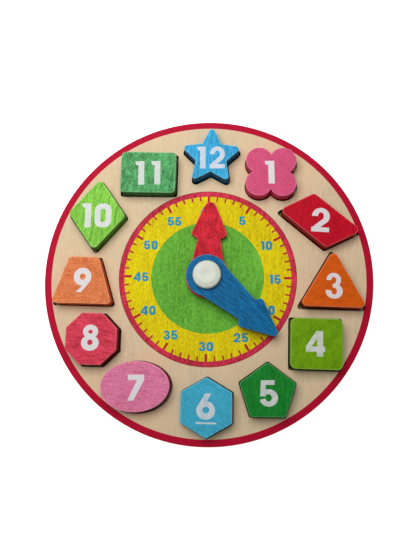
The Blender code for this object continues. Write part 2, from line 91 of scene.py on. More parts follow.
def length(name, description, millimetres):
    """A size that a user may change."""
    return FloatProperty(name=name, description=description, default=millimetres * MM, min=0.0, unit="LENGTH")


def paint(name, description, colour):
    """A colour that a user may change."""
    return FloatVectorProperty(
        name=name,
        description=description,
        default=colour,
        size=3,
        min=0.0,
        max=1.0,
        subtype="COLOR",
    )


class ClockPrintSizes(bpy.types.PropertyGroup):
    """Radii and thickness of everything printed on the face board."""

    border_inner: length("Border inside", "Inner radius of the crimson border", 105.45)
    ring_outer: length("Dial ring outside", "Outer radius of the crimson ring round the dial", 59.31)
    ring_line: length("Ring line", "Width of the dark line that the dial ring ends in", 0.35)
    yellow_outer: length("Yellow outside", "Outer radius of the yellow minute band", 55.92)
    green_outer: length("Green outside", "Outer radius of the green middle", 37.79)
    dial_hole: length("Dial hole", "Radius left unprinted round the pivot", 5.2)
    ink: length("Ink thickness", "How far each print stands above the wood", 0.04)
    long_tick: length("Long tick", "Length of the mark at every fifth minute", 4.9)
    long_tick_width: length("Long tick width", "Width of the mark at every fifth minute", 1.6)
    short_tick: length("Short tick", "Length of the other minute marks", 3.0)
    short_tick_width: length("Short tick width", "Width of the other minute marks", 1.05)
    minute_height: length("Minute numeral height", "Height of the numerals in the minute band", 5.95)
    minute_swell: length("Minute numeral swell", "How far the strokes in the minute band are thickened", 0.10)


class ClockBlockSizes(bpy.types.PropertyGroup):
    """Sizes that the twelve blocks share."""

    span: length("Block span", "Length that every block outline is a share of", 40.0)
    edge_round: length("Edge round", "Rounding of each block's top and bottom edges", 0.7)
    edge_flat: length("Edge land", "Narrow flat ring inside the rounding that keeps the top flat", 0.12)


class ClockHandSizes(bpy.types.PropertyGroup):
    """Outlines of the two hands and the cap that holds them."""

    hour_hub: length("Hour hub", "Radius of the hour hand's hub", 14.6)
    hour_reach: length("Hour reach", "Distance of the hour hand's point from the pivot", 51.12)
    minute_hub: length("Minute hub", "Radius of the minute hand's hub", 13.9)
    minute_reach: length("Minute reach", "Distance of the minute hand's point from the pivot", 59.62)
    hole: length("Hand hole", "Radius of the hole that turns on the sleeve", 5.2)
    edge_round: length("Hand edge round", "Rounding of the hands' edges", 0.5)
    cap_radius: length("Cap radius", "Radius of the moulded cap", 9.3)
    cap_dimple: length("Cap dimple", "Radius of the soft dimple in the cap", 5.2)


class ClockPaints(bpy.types.PropertyGroup):
    """Colours of wood, prints, paints and plastic."""

    wood: paint("Wood", "Sanded face plywood", (0.779, 0.612, 0.404))
    border: paint("Border", "Print round the board's edge", (0.545, 0.00406, 0.0379))
    ring: paint("Dial ring", "Print round the dial", (0.632, 0.0347, 0.0775))
    ring_line: paint("Ring line", "Thin line outside the dial ring", (0.25, 0.012, 0.014))
    yellow: paint("Minute band", "Print that the minutes stand on", (0.97, 0.641, 0.000578))
    green: paint("Dial middle", "Print round the pivot", (0.149, 0.473, 0.0453))
    tick: paint("Ticks", "Minute marks", (0.50, 0.020, 0.030))
    minute: paint("Minute numerals", "Numerals in the minute band", (0.030, 0.33, 0.50))
    numeral: paint("Block numerals", "Numerals on the blocks", (0.80, 0.80, 0.82))
    block_01: paint("Clover", "Paint of block one", (0.754, 0.0987, 0.232))
    block_02: paint("Parallelogram", "Paint of block two", (0.579, 0.0005, 0.0197))
    block_03: paint("Triangle", "Paint of block three", (0.768, 0.119, 0.00119))
    block_04: paint("Square", "Paint of block four", (0.176, 0.395, 0.00069))
    block_05: paint("Pentagon", "Paint of block five", (0.008, 0.248, 0.0275))
    block_06: paint("Hexagon", "Paint of block six", (0.0616, 0.459, 0.663))
    block_07: paint("Oval", "Paint of block seven", (0.97, 0.224, 0.39))
    block_08: paint("Octagon", "Paint of block eight", (0.769, 0.0532, 0.102))
    block_09: paint("Trapezoid", "Paint of block nine", (1.0, 0.235, 0.0803))
    block_10: paint("Rhombus", "Paint of block ten", (0.237, 0.598, 0.0671))
    block_11: paint("Rectangle", "Paint of block eleven", (0.0979, 0.396, 0.137))
    block_12: paint("Star", "Paint of block twelve", (0.0449, 0.419, 0.772))
    hour_hand: paint("Hour hand", "Paint of the hour hand", (0.644, 0.0138, 0.0338))
    minute_hand: paint("Minute hand", "Paint of the minute hand", (0.0005, 0.148, 0.355))
    cap: paint("Cap", "Moulded plastic of the cap", (0.711, 0.758, 0.657))
    floor: paint("Floor", "The surface that the clock lies on", (0.90, 0.90, 0.90))


# Surfaces: loops are (n, 2) arrays of places, anticlockwise where they bound a piece and clockwise round a hole


def turned(points, degrees):
    """The points after an anticlockwise turn about the origin."""
    angle = math.radians(degrees)
    turn = np.array([[math.cos(angle), math.sin(angle)], [-math.sin(angle), math.cos(angle)]])
    return np.asarray(points, float) @ turn


def circle(radius, steps=CIRCLE_STEPS):
    """Radius times the cosine and sine of evenly spaced angles."""
    angle = np.arange(steps) * math.tau / steps
    return radius * np.stack([np.cos(angle), np.sin(angle)], axis=1)


def rounded(corners, radii):
    """Each corner gives way to the arc, of its own radius, that touches both of its sides.

    The arc's centre lies on the corner's bisector at radius / sin(half angle), and the arc turns from the point
    where the first side touches it through pi less the corner's angle.
    """
    corners = np.asarray(corners, float)
    radii = np.broadcast_to(np.asarray(radii, float), len(corners))[:, None]
    before = np.roll(corners, 1, axis=0) - corners
    after = np.roll(corners, -1, axis=0) - corners
    before /= np.linalg.norm(before, axis=1, keepdims=True)
    after /= np.linalg.norm(after, axis=1, keepdims=True)
    half = np.arccos(np.clip(np.sum(before * after, axis=1), -1, 1))[:, None] / 2
    bisector = before + after
    bisector /= np.linalg.norm(bisector, axis=1, keepdims=True)
    centre = corners + bisector * radii / np.sin(half)
    arm = corners + before * radii / np.tan(half) - centre
    crossing = before[:, 0] * after[:, 1] - before[:, 1] * after[:, 0]
    sweep = -np.sign(crossing)[:, None] * (math.pi - 2 * half)
    angle = sweep * np.linspace(0, 1, CORNER_STEPS + 1)
    across = np.stack([-arm[:, 1], arm[:, 0]], axis=1)
    arcs = centre[:, None] + arm[:, None] * np.cos(angle)[..., None] + across[:, None] * np.sin(angle)[..., None]
    return arcs.reshape(-1, 2)


def outward(loop):
    """For each place on the loop the step that moves both of its sides outwards by one metre.

    It is the sum of the two sides' unit normals over one plus their dot product.
    """
    along = np.roll(loop, -1, axis=0) - loop
    along /= np.linalg.norm(along, axis=1, keepdims=True)
    leaving = np.stack([along[:, 1], -along[:, 0]], axis=1)
    arriving = np.roll(leaving, 1, axis=0)
    return (arriving + leaving) / (1 + np.sum(arriving * leaving, axis=1, keepdims=True))


def ring_quads(rows, columns, closed):
    """Four-sided faces of a grid whose columns run round, and whose rows do too where it is closed."""
    row = np.arange(rows if closed else rows - 1)[:, None]
    low = row * columns
    high = (row + 1) % rows * columns
    here = np.arange(columns)
    there = np.roll(here, -1)
    return np.stack([low + here, low + there, high + there, high + here], axis=-1).reshape(-1, 4)


def crossings(places, loop):
    """How many sides of the loop a ray from each place towards +X crosses."""
    start = loop
    end = np.roll(loop, -1, axis=0)
    spans = (start[:, 1] > places[:, 1:]) != (end[:, 1] > places[:, 1:])
    rise = np.where(end[:, 1] == start[:, 1], 1.0, end[:, 1] - start[:, 1])
    reach = start[:, 0] + (places[:, 1:] - start[:, 1]) * (end[:, 0] - start[:, 0]) / rise
    return np.count_nonzero(spans & (places[:, :1] < reach), axis=1)


def filled(shapes):
    """Places and anticlockwise triangles of the union of the shapes.

    Each shape is a list of loops, and a place is inside it where a ray crosses its sides an odd number of times.
    """
    loops = [np.asarray(loop, float) for shape in shapes for loop in shape]
    starts = np.cumsum([0, *[len(loop) for loop in loops]])
    sides = [
        np.stack([np.arange(len(loop)), np.roll(np.arange(len(loop)), -1)], axis=1) + start
        for loop, start in zip(loops, starts)
    ]
    places = (np.concatenate(loops) / MM).tolist()
    found = delaunay_2d_cdt(places, np.concatenate(sides).tolist(), [], 0, 1e-5, False)
    places = np.array([place[:] for place in found[0]]) * MM
    triangles = np.array(found[2])
    middles = places[triangles].mean(axis=1)
    inside = [sum(crossings(middles, np.asarray(loop, float)) for loop in shape) % 2 == 1 for shape in shapes]
    triangles = triangles[np.any(inside, axis=0)]
    first, second, third = (places[triangles[:, corner]] for corner in range(3))
    area = (second - first)[:, 0] * (third - first)[:, 1] - (second - first)[:, 1] * (third - first)[:, 0]
    return places, np.where(area[:, None] < 0, triangles[:, ::-1], triangles)


def raised(flat, height):
    """Flat places at one height."""
    return np.column_stack([flat, np.full(len(flat), height)])


def as_quads(triangles):
    """Triangles in the form of four-sided faces whose last two corners are one."""
    return triangles[:, [0, 1, 2, 2]]


def slab(loops, profile):
    """A flat piece bounded by loops, with a profile of (inset, height) pairs carried round each of them.

    A wall place is the loop's place less inset times its outward step, at the profile's height, and the first
    and last rows of the walls are filled.
    """
    profile = np.asarray(profile, float)
    places = []
    faces = []
    count = 0
    for loop in loops:
        loop = np.asarray(loop, float)
        flat = loop[None] - outward(loop)[None] * profile[:, 0, None, None]
        heights = np.broadcast_to(profile[:, 1, None, None], (*flat.shape[:2], 1))
        places.append(np.concatenate([flat, heights], axis=2).reshape(-1, 3))
        faces.append(ring_quads(len(profile), len(loop), False) + count)
        count += len(places[-1])
    for row, step in ((0, -1), (-1, 1)):
        inset, height = profile[row]
        flat, triangles = filled([[loop - outward(np.asarray(loop, float)) * inset for loop in loops]])
        places.append(raised(flat, height))
        faces.append(as_quads(triangles[:, ::step]) + count)
        count += len(flat)
    return np.concatenate(places), np.concatenate(faces)


def film(shapes, low, high):
    """A thin layer over the union of the shapes, its walls standing on the sides that only one triangle has."""
    flat, triangles = filled(shapes)
    count = len(flat)
    sides = triangles[:, [0, 1, 1, 2, 2, 0]].reshape(-1, 2)
    bare = ~np.isin(sides[:, 0] * count + sides[:, 1], sides[:, 1] * count + sides[:, 0])
    start, end = sides[bare].T
    walls = np.stack([start, end, end + count, start + count], axis=1)
    places = np.concatenate([raised(flat, low), raised(flat, high)])
    faces = np.concatenate([as_quads(triangles[:, ::-1]), as_quads(triangles + count), walls])
    return places, faces


def turned_surface(section, closed):
    """A (radius, height) section carried round the z axis: (r cos a, r sin a, z) for each angle a."""
    section = np.asarray(section, float)
    angle = np.arange(CIRCLE_STEPS) * math.tau / CIRCLE_STEPS
    radius = section[:, 0, None]
    height = np.broadcast_to(section[:, 1, None], (len(section), CIRCLE_STEPS))
    places = np.stack([radius * np.cos(angle), radius * np.sin(angle), height], axis=-1).reshape(-1, 3)
    return places, ring_quads(len(section), CIRCLE_STEPS, closed)


def arc(centre, radius, start, end, steps=ROLL_STEPS):
    """Points of a (radius, height) arc between two angles in degrees."""
    angle = np.radians(np.linspace(start, end, steps + 1))
    return np.asarray(centre) + radius * np.stack([np.cos(angle), np.sin(angle)], axis=1)


def rolled_profile(low, high, edge_round, land):
    """(inset, height) pairs from the bottom fill up the wall to the top fill, both edges rolled."""
    lower = arc((edge_round, low + edge_round), edge_round, 270, 180)
    upper = arc((edge_round, high - edge_round), edge_round, 180, 90)
    return np.concatenate([[(edge_round + land, low)], lower, upper, [(edge_round + land, high)]])


def add_piece(name, surface, body, material):
    """A new piece in place, welded, smooth where its faces turn little, riding on its body."""
    places, faces = surface
    _, first, kept = np.unique(np.round(places / WELD), axis=0, return_index=True, return_inverse=True)
    places = places[first]
    faces = kept.reshape(-1)[faces]
    faces = np.where((faces[:, 0] == faces[:, 1])[:, None], faces[:, [1, 2, 3, 3]], faces)
    three = faces[:, 2] == faces[:, 3]
    used, compact = np.unique(faces, return_inverse=True)
    compact = compact.reshape(faces.shape)
    mesh = bpy.data.meshes.new(name)
    mesh.from_pydata(places[used].tolist(), [], compact[~three].tolist() + compact[three][:, :3].tolist())
    mesh.shade_smooth()
    mesh.set_sharp_from_angle(angle=SMOOTH_ANGLE)
    mesh.materials.append(material)
    piece = bpy.data.objects.new(name, mesh)
    bpy.context.scene.collection.objects.link(piece)
    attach(piece, body)
    return piece


# Block outlines about each block's own middle, unturned


def regular(count, radius, first_angle):
    """Corners of a regular polygon, anticlockwise from the first angle in degrees."""
    angle = math.radians(first_angle) + np.arange(count) * math.tau / count
    return radius * np.stack([np.cos(angle), np.sin(angle)], axis=1)


def clover(span):
    """Four lobes: arcs about (offset, offset) and its three quarter turns, with a short step in each notch."""
    offset = 0.199 * span
    lobe = 0.2275 * span
    reach = math.atan2(-offset, math.sqrt(lobe**2 - offset**2))
    angle = np.linspace(reach + NOTCH_STEP, math.pi / 2 - reach - NOTCH_STEP, ROUND_STEPS // 4)
    quarter = offset + lobe * np.stack([np.cos(angle), np.sin(angle)], axis=1)
    return np.concatenate([turned(quarter, 90 * step) for step in range(4)])


def parallelogram(span):
    """Long sides level, acute corners lower left and upper right."""
    lean = 0.33 * span * math.cos(math.radians(66))
    rise = 0.33 * span * math.sin(math.radians(66))
    half = 0.5 * span
    corners = [(-half - lean, -rise), (half - lean, -rise), (half + lean, rise), (-half + lean, rise)]
    return rounded(corners, 3.0 * MM)


def triangle(span):
    """Equilateral, point up."""
    return rounded(regular(3, 1.11 * span / math.sqrt(3), 90), 3.0 * MM)


def box_corners(width, height):
    """Corners of a rectangle about the origin."""
    return np.array([(-1, -1), (1, -1), (1, 1), (-1, 1)]) * (width / 2, height / 2)


def square(span):
    """A near square with well rounded corners."""
    return rounded(box_corners(0.835 * span, 0.815 * span), 3.8 * MM)


def pentagon(span):
    """Regular, point up."""
    return rounded(regular(5, 0.474 * span, 90), 1.6 * MM)


def hexagon(span):
    """Regular, point up."""
    return rounded(regular(6, 0.475 * span, 90), 1.6 * MM)


def oval(span):
    """A level ellipse."""
    return circle(1.0, ROUND_STEPS) * (0.5575 * span, 0.4025 * span)


def octagon(span):
    """Regular, flat side up."""
    return rounded(regular(8, 0.455 * span, 22.5), 1.4 * MM)


def trapezoid(span):
    """Isosceles, on its long side."""
    base, top, half_height = 0.5075 * span, 0.25 * span, 0.3925 * span
    corners = [(-base, -half_height), (base, -half_height), (top, half_height), (-top, half_height)]
    return rounded(corners, 2.5 * MM)


def rhombus(span):
    """Standing on a point."""
    half_width, half_height = 0.4875 * span, 0.6225 * span
    return rounded([(0, -half_height), (half_width, 0), (0, half_height), (-half_width, 0)], 3.1 * MM)


def rectangle(span):
    """Level, with rounded corners."""
    return rounded(box_corners(0.94 * span, 0.7175 * span), 3.0 * MM)


def star(span):
    """Five points with rounded tips and tight valleys."""
    tips = regular(5, 0.56 * span, 90)
    valleys = regular(5, 0.275 * span, 126)
    corners = np.stack([tips, valleys], axis=1).reshape(-1, 2)
    return rounded(corners, np.tile([2.2 * MM, 0.8 * MM], 5))


# Each block: node, outline, turn in degrees, and its numeral with centre, width, height (mm) and turn
BLOCKS = [
    ("block_01_clover", clover, -0.5, "1", (40.9, 70.8), (6.5, 16.0), 1.5),
    ("block_02_parallelogram", parallelogram, -39.5, "2", (74.6, 38.0), (12.0, 16.3), -3.0),
    ("block_03_triangle", triangle, -1.2, "3", (82.6, -6.0), (11.0, 16.9), 0.0),
    ("block_04_square", square, -0.7, "4", (70.1, -43.5), (12.3, 16.2), -0.5),
    ("block_05_pentagon", pentagon, 0.6, "5", (40.4, -75.3), (11.6, 16.4), 2.5),
    ("block_06_hexagon", hexagon, 0.0, "6", (0.8, -84.2), (11.9, 16.3), 0.5),
    ("block_07_oval", oval, 3.0, "7", (-44.0, -73.3), (10.5, 16.3), 0.5),
    ("block_08_octagon", octagon, -0.6, "8", (-75.05, -42.1), (11.6, 16.9), 0.5),
    ("block_09_trapezoid", trapezoid, -0.9, "9", (-82.1, -4.25), (11.8, 16.2), 1.0),
    ("block_10_rhombus", rhombus, -2.9, "10", (-75.1, 39.8), (20.4, 16.6), 0.0),
    ("block_11_rectangle", rectangle, -0.7, "11", (-41.6, 69.9), (17.3, 16.6), 1.0),
    ("block_12_star", star, -1.3, "12", (1.2, 81.05), (19.2, 15.6), 1.0),
]

# Finish of each block by hour: grain turn, sway, streaks, blotches and grit, then side shade and ink tint
LOOKS = {
    "01": ((-42, 6, 0.25, 0.15, 0.30), 0.9, 0.05),
    "02": ((-8, 6, 0.45, 0.30, 0.40), 0.6, 0.08),
    "03": ((88, 2, 0.35, 0.15, 0.25), 0.5, 0.10),
    "04": ((30, 4, 0.25, 0.40, 0.30), 0.5, 0.24),
    "05": ((4, 2, 0.50, 0.20, 0.55), 0.5, 0.22),
    "06": ((118, 9, 0.40, 0.20, 0.25), 0.5, 0.27),
    "07": ((92, 2, 0.50, 0.15, 0.60), 0.5, 0.05),
    "08": ((95, 5, 1.00, 0.30, 0.60), 0.35, 0.04),
    "09": ((84, 3, 0.35, 0.35, 0.90), 0.6, 0.05),
    "10": ((10, 2, 1.15, 0.20, 0.45), 0.5, 0.14),
    "11": ((12, 6, 0.85, 0.80, 1.00), 0.5, 0.20),
    "12": ((2, 2, 0.85, 0.15, 0.60), 0.4, 0.25),
}

# Underline of the six, in millimetres: centre, width and height
SIX_BAR = ((1.15, -94.45), (13.0, 1.1))

# Numerals: each digit is a union of shapes in a box one high, and its width is the share given with it


def box_loop(left, bottom, right, top):
    """A rectangle."""
    return [(left, bottom), (right, bottom), (right, top), (left, top)]


def bow(outer, inner, start, end):
    """A band between two ellipses, each (x, y, x radius, y radius), from one angle to another in degrees."""
    angle = np.radians(np.linspace(start, end, DIGIT_ARC_STEPS + 1))
    sweep = np.stack([np.cos(angle), np.sin(angle)], axis=1)
    edges = [np.array(ellipse[:2]) + sweep * ellipse[2:] for ellipse in (outer, inner)]
    return np.concatenate([edges[0], edges[1][::-1]])


def ellipse_loop(x, y, x_radius, y_radius):
    """A full ellipse."""
    return np.array([x, y]) + circle(1.0, 2 * DIGIT_ARC_STEPS) * (x_radius, y_radius)


def soft_box(left, bottom, right, top, radius):
    """A rectangle with round corners."""
    return rounded(box_loop(left, bottom, right, top), radius)


DIGITS = {
    "0": (0.70, [[soft_box(0, 0, 0.70, 1, 0.30), soft_box(0.245, 0.22, 0.455, 0.78, 0.10)]]),
    "1": (0.405, [[[(0.15, 0), (0.405, 0), (0.405, 1), (0, 1), (0.045, 0.84), (0.15, 0.82)]]]),
    "2": (
        0.72,
        [
            [bow((0.36, 0.65, 0.35, 0.35), (0.36, 0.65, 0.115, 0.165), 180, -42)],
            [[(0, 0), (0.32, 0.17), (0.62, 0.415), (0.44, 0.54), (0, 0.15)]],
            [box_loop(0, 0, 0.70, 0.19)],
        ],
    ),
    "3": (
        0.69,
        [
            [bow((0.335, 0.725, 0.295, 0.275), (0.335, 0.715, 0.10, 0.125), 180, -90)],
            [bow((0.345, 0.29, 0.345, 0.29), (0.345, 0.29, 0.11, 0.13), 90, -190)],
            [box_loop(0.29, 0.43, 0.40, 0.575)],
        ],
    ),
    "4": (
        0.79,
        [
            [
                [(0, 0.18), (0.45, 0.18), (0.45, 0), (0.71, 0), (0.71, 0.18), (0.79, 0.18)]
                + [(0.79, 0.387), (0.71, 0.387), (0.71, 1), (0.44, 1), (0, 0.375)],
                [(0.235, 0.387), (0.468, 0.387), (0.468, 0.69)],
            ]
        ],
    ),
    "5": (
        0.71,
        [
            [bow((0.355, 0.33, 0.355, 0.33), (0.345, 0.335, 0.125, 0.14), 128, -170)],
            [[(0.02, 0.40), (0.235, 0.385), (0.255, 0.82), (0.60, 0.82), (0.60, 1), (0.075, 1)]],
        ],
    ),
    "6": (
        0.71,
        [
            [ellipse_loop(0.356, 0.352, 0.356, 0.352), ellipse_loop(0.36, 0.368, 0.131, 0.125)],
            [[(0.03, 0.47), (0.22, 0.40), (0.395, 0.69), (0.56, 1), (0.325, 1)]],
        ],
    ),
    "7": (0.655, [[[(0, 0.0), (0.24, 0.0), (0.655, 0.80), (0.655, 1), (0, 1), (0, 0.79), (0.365, 0.79)]]]),
    "8": (
        0.70,
        [
            [ellipse_loop(0.36, 0.735, 0.30, 0.265), ellipse_loop(0.36, 0.728, 0.09, 0.075)],
            [ellipse_loop(0.35, 0.30, 0.35, 0.30), ellipse_loop(0.35, 0.322, 0.108, 0.106)],
        ],
    ),
    "9": (
        0.75,
        [
            [ellipse_loop(0.375, 0.635, 0.375, 0.365), ellipse_loop(0.38, 0.637, 0.127, 0.127)],
            [[(0.11, 0), (0.33, 0), (0.715, 0.46), (0.50, 0.50), (0.375, 0.27)]],
        ],
    ),
}
DIGIT_GAPS = {"10": 0.15, "11": 0.295, "12": 0.19}
MINUTE_GAP = 0.16

# Minute numerals: centre in millimetres, upright like the rest
MINUTES = {
    "5": (23.0, 39.2),
    "10": (39.3, 22.1),
    "15": (45.1, -0.9),
    "20": (40.2, -21.6),
    "25": (22.8, -40.0),
    "30": (-0.1, -46.2),
    "35": (-23.6, -39.0),
    "40": (-39.1, -22.9),
    "45": (-44.7, -0.3),
    "50": (-38.8, 21.7),
    "55": (-23.2, 38.3),
    "60": (-0.6, 45.6),
}


def numeral(text, gap):
    """Shapes of a numeral one high, its digits side by side, and the whole width."""
    shapes = []
    left = 0.0
    for digit in text:
        width, strokes = DIGITS[digit]
        shapes += [[np.asarray(loop, float) + (left, 0) for loop in shape] for shape in strokes]
        left += width + gap
    return shapes, left - gap


def swollen(shapes, swell):
    """Each shape with its outer loop moved outwards and its holes moved inwards by the swell."""
    thick = []
    for shape in shapes:
        loops = [np.asarray(loop, float) for loop in shape]
        for index, loop in enumerate(loops):
            ahead = np.roll(loop, -1, axis=0)
            area = np.sum(loop[:, 0] * ahead[:, 1] - loop[:, 1] * ahead[:, 0])
            side = np.sign(area) * (1 if index == 0 else -1)
            loops[index] = loop + outward(loop) * side * swell
        thick.append(loops)
    return thick


def placed(shapes, scale, turn, centre):
    """Shapes scaled, turned and moved to their place."""
    return [[turned(loop * scale, turn) + centre for loop in shape] for shape in shapes]


# Materials


def add_node(tree, kind, inputs=None, **settings):
    """A node with its settings, its inputs linked where they are sockets and set where they are values."""
    node = tree.nodes.new(kind)
    for name, value in settings.items():
        setattr(node, name, value)
    for name, value in (inputs or {}).items():
        socket = node.inputs[name]
        if isinstance(value, bpy.types.NodeSocket):
            tree.links.new(value, socket)
        else:
            socket.default_value = value
    return node


def new_finish(name, roughness, gloss):
    """An empty material with its shader and a shared Object coordinate; gloss scales the surface reflection."""
    material = bpy.data.materials.new(name)
    material.use_nodes = True
    tree = material.node_tree
    shader = tree.nodes["Principled BSDF"]
    shader.inputs["Roughness"].default_value = roughness
    shader.inputs["Specular IOR Level"].default_value = gloss
    coordinates = add_node(tree, "ShaderNodeTexCoord").outputs["Object"]
    return material, tree, shader, coordinates


def noise(tree, coordinates, scale, detail=3.0, roughness=0.55, distortion=0.0):
    """Noise stretched by a scale for each axis, in turns per metre."""
    stretched = add_node(tree, "ShaderNodeMapping", {"Vector": coordinates, "Scale": scale}).outputs[0]
    inputs = {
        "Vector": stretched,
        "Scale": 1.0,
        "Detail": detail,
        "Roughness": roughness,
        "Distortion": distortion,
    }
    return add_node(tree, "ShaderNodeTexNoise", inputs).outputs[0]


def remap(tree, value, low, high, to_low=0.0, to_high=1.0):
    """The value stretched from one range to another and kept within it."""
    inputs = {"Value": value, "From Min": low, "From Max": high, "To Min": to_low, "To Max": to_high}
    return add_node(tree, "ShaderNodeMapRange", inputs).outputs[0]


def maths(tree, operation, first, second=0.0):
    """One arithmetic step."""
    return add_node(tree, "ShaderNodeMath", {0: first, 1: second}, operation=operation).outputs[0]


def blend(tree, factor, first, second):
    """A mix of two colours."""
    node = tree.nodes.new("ShaderNodeMix")
    node.data_type = "RGBA"
    for socket, value in ((node.inputs[0], factor), (node.inputs[6], first), (node.inputs[7], second)):
        if isinstance(value, bpy.types.NodeSocket):
            tree.links.new(value, socket)
        elif isinstance(value, float):
            socket.default_value = value
        else:
            socket.default_value = (*value, 1.0)
    return node.outputs[2]


def shade(colour, factor):
    """A colour made darker or lighter."""
    return tuple(min(channel * factor, 1.0) for channel in colour)


def deepened(colour):
    """The colour where more paint has gathered."""
    return tuple(0.55 * channel**1.15 for channel in colour)


def paled(colour):
    """The colour where the paint is thin."""
    return tuple(min(1.4 * channel + 0.004, 1.0) for channel in colour)


def charred_and_shaded(colour, share):
    """A sawn side: the colour deepened by the scorched wood under it, and darkened further as painted shade."""
    return tuple(share * channel**1.5 + 0.0015 * tint for channel, tint in zip(colour, (1.6, 1.0, 0.5)))


def flatness(tree):
    """How level the surface is: one on the top and bottom, nought on the sides."""
    normal = add_node(tree, "ShaderNodeNewGeometry").outputs["Normal"]
    up = add_node(tree, "ShaderNodeSeparateXYZ", {0: normal}).outputs[2]
    return maths(tree, "ABSOLUTE", up)


def add_bump(tree, shader, height, strength, distance):
    """Relief from a height pattern, its distance in millimetres."""
    inputs = {"Height": height, "Strength": strength, "Distance": distance * MM}
    bump = add_node(tree, "ShaderNodeBump", inputs).outputs[0]
    tree.links.new(bump, shader.inputs["Normal"])


def along_grain(tree, coordinates, turn, sway):
    """Coordinates turned so that the grain runs along y, then swayed by slow noise of some millimetres."""
    inputs = {"Vector": coordinates, "Angle": math.radians(turn)}
    spun = add_node(tree, "ShaderNodeVectorRotate", inputs, rotation_type="Z_AXIS").outputs[0]
    drift = add_node(tree, "ShaderNodeTexNoise", {"Vector": spun, "Scale": 42.0, "Detail": 1.0}).outputs["Color"]
    reach = (sway * MM,) * 3
    inputs = {0: drift, 1: reach, 2: spun}
    return add_node(tree, "ShaderNodeVectorMath", inputs, operation="MULTIPLY_ADD").outputs[0]


def spread(tree, weights):
    """One half plus each pattern's lean from its middle times its weight, for mixing two tones."""
    total = 0.5
    for pattern, weight in weights:
        lean = remap(tree, pattern, 0.3, 0.7, -0.5 * weight, 0.5 * weight)
        total = maths(tree, "ADD", lean, total)
    return total


def wood_grain(tree, coordinates):
    """Fibres, clouds and flecks that run up the board, shared by the wood and everything printed on it."""
    grain = along_grain(tree, coordinates, 1.0, 2.5)
    fibre = noise(tree, grain, (680, 55, 680), 5.0, 0.68)
    cloud = noise(tree, coordinates, (55, 30, 55), 3.0, 0.6, 0.5)
    fleck = noise(tree, grain, (1150, 480, 1150), 3.0, 0.6)
    return fibre, cloud, fleck


# Flecks of stray paint and dirt on the bare wood: centre and radii in millimetres, then colour
SPECKS = [
    ((-49.6, 30.9), (0.5, 1.3), (0.45, 0.10, 0.09)),
    ((-50.6, -25.9), (0.4, 0.7), (0.45, 0.08, 0.08)),
    ((48.7, 26.8), (0.35, 0.45), (0.10, 0.05, 0.03)),
]


def specked(tree, coordinates, colour):
    """The colour with the stray flecks on it, each fading out from its centre."""
    for centre, radii, stain in SPECKS:
        scale = (1 / (radii[0] * MM), 1 / (radii[1] * MM), 0.0)
        offset = (-centre[0] / radii[0], -centre[1] / radii[1], 0.0)
        inputs = {0: coordinates, 1: scale, 2: offset}
        local = add_node(tree, "ShaderNodeVectorMath", inputs, operation="MULTIPLY_ADD").outputs[0]
        far = add_node(tree, "ShaderNodeVectorMath", {0: local}, operation="LENGTH").outputs["Value"]
        colour = blend(tree, remap(tree, far, 1.2, 0.5, 0.0, 0.8), colour, stain)
    return colour


def plywood(name, colour, ply, scorched):
    """Sanded plywood with alternate plies on its edges; walls nearer the middle than given are near black,
    scorched by cutting and painted shade for the deep socket gaps.
    """
    material, tree, shader, coordinates = new_finish(name, roughness=0.55, gloss=0.12)
    fibre, cloud, fleck = wood_grain(tree, coordinates)
    tone = spread(tree, [(fibre, 0.45), (cloud, 0.32), (fleck, 0.40)])
    face = blend(tree, tone, shade(colour, 0.80), shade(colour, 1.2))
    warm = (colour[0], colour[1] * 0.93, colour[2] * 0.88)
    face = blend(tree, remap(tree, cloud, 0.4, 0.65, 0.0, 0.6), face, warm)
    face = specked(tree, coordinates, face)
    height = add_node(tree, "ShaderNodeSeparateXYZ", {0: coordinates}).outputs[2]
    waver = remap(tree, noise(tree, coordinates, (30, 30, 30)), 0, 1, -0.12 * ply, 0.12 * ply)
    layer = maths(tree, "DIVIDE", maths(tree, "ADD", height, waver), 2 * ply)
    parity = maths(tree, "GREATER_THAN", maths(tree, "FRACT", layer), 0.5)
    end_grain = noise(tree, coordinates, (1500, 1500, 900), 3.0)
    long_ply = blend(tree, end_grain, shade(colour, 0.72), shade(colour, 0.86))
    cross_ply = blend(tree, end_grain, shade(colour, 0.38), shade(colour, 0.56))
    edge = blend(tree, parity, long_ply, cross_ply)
    flat = add_node(tree, "ShaderNodeVectorMath", {0: coordinates, 1: (1, 1, 0)}, operation="MULTIPLY").outputs[0]
    radius = add_node(tree, "ShaderNodeVectorMath", {0: flat}, operation="LENGTH").outputs["Value"]
    # Near black on the socket walls: scorch from cutting and painted shade in the deep, narrow gaps.
    scorch_and_shade = maths(tree, "LESS_THAN", radius, scorched)
    edge = blend(tree, scorch_and_shade, edge, shade(colour, 0.03))
    tree.links.new(blend(tree, remap(tree, flatness(tree), 0.45, 0.75), edge, face), shader.inputs["Base Color"])
    tree.links.new(remap(tree, fibre, 0.3, 0.7, 0.62, 0.50), shader.inputs["Roughness"])
    add_bump(tree, shader, maths(tree, "ADD", fibre, fleck), 0.2, 0.05)
    return material


def printed(name, colour, texture):
    """Thin print over the board's own grain; texture says how strongly the grain marks it."""
    material, tree, shader, coordinates = new_finish(name, roughness=0.5, gloss=0.06)
    fibre, cloud, fleck = wood_grain(tree, coordinates)
    weights = [(fibre, 0.5 * texture), (cloud, 0.35 * texture), (fleck, 0.9 * texture)]
    tone = blend(tree, spread(tree, weights), deepened(colour), paled(colour))
    tree.links.new(tone, shader.inputs["Base Color"])
    tree.links.new(remap(tree, fibre, 0.3, 0.7, 0.56, 0.46), shader.inputs["Roughness"])
    add_bump(tree, shader, maths(tree, "ADD", fibre, fleck), 0.2, 0.04)
    return material


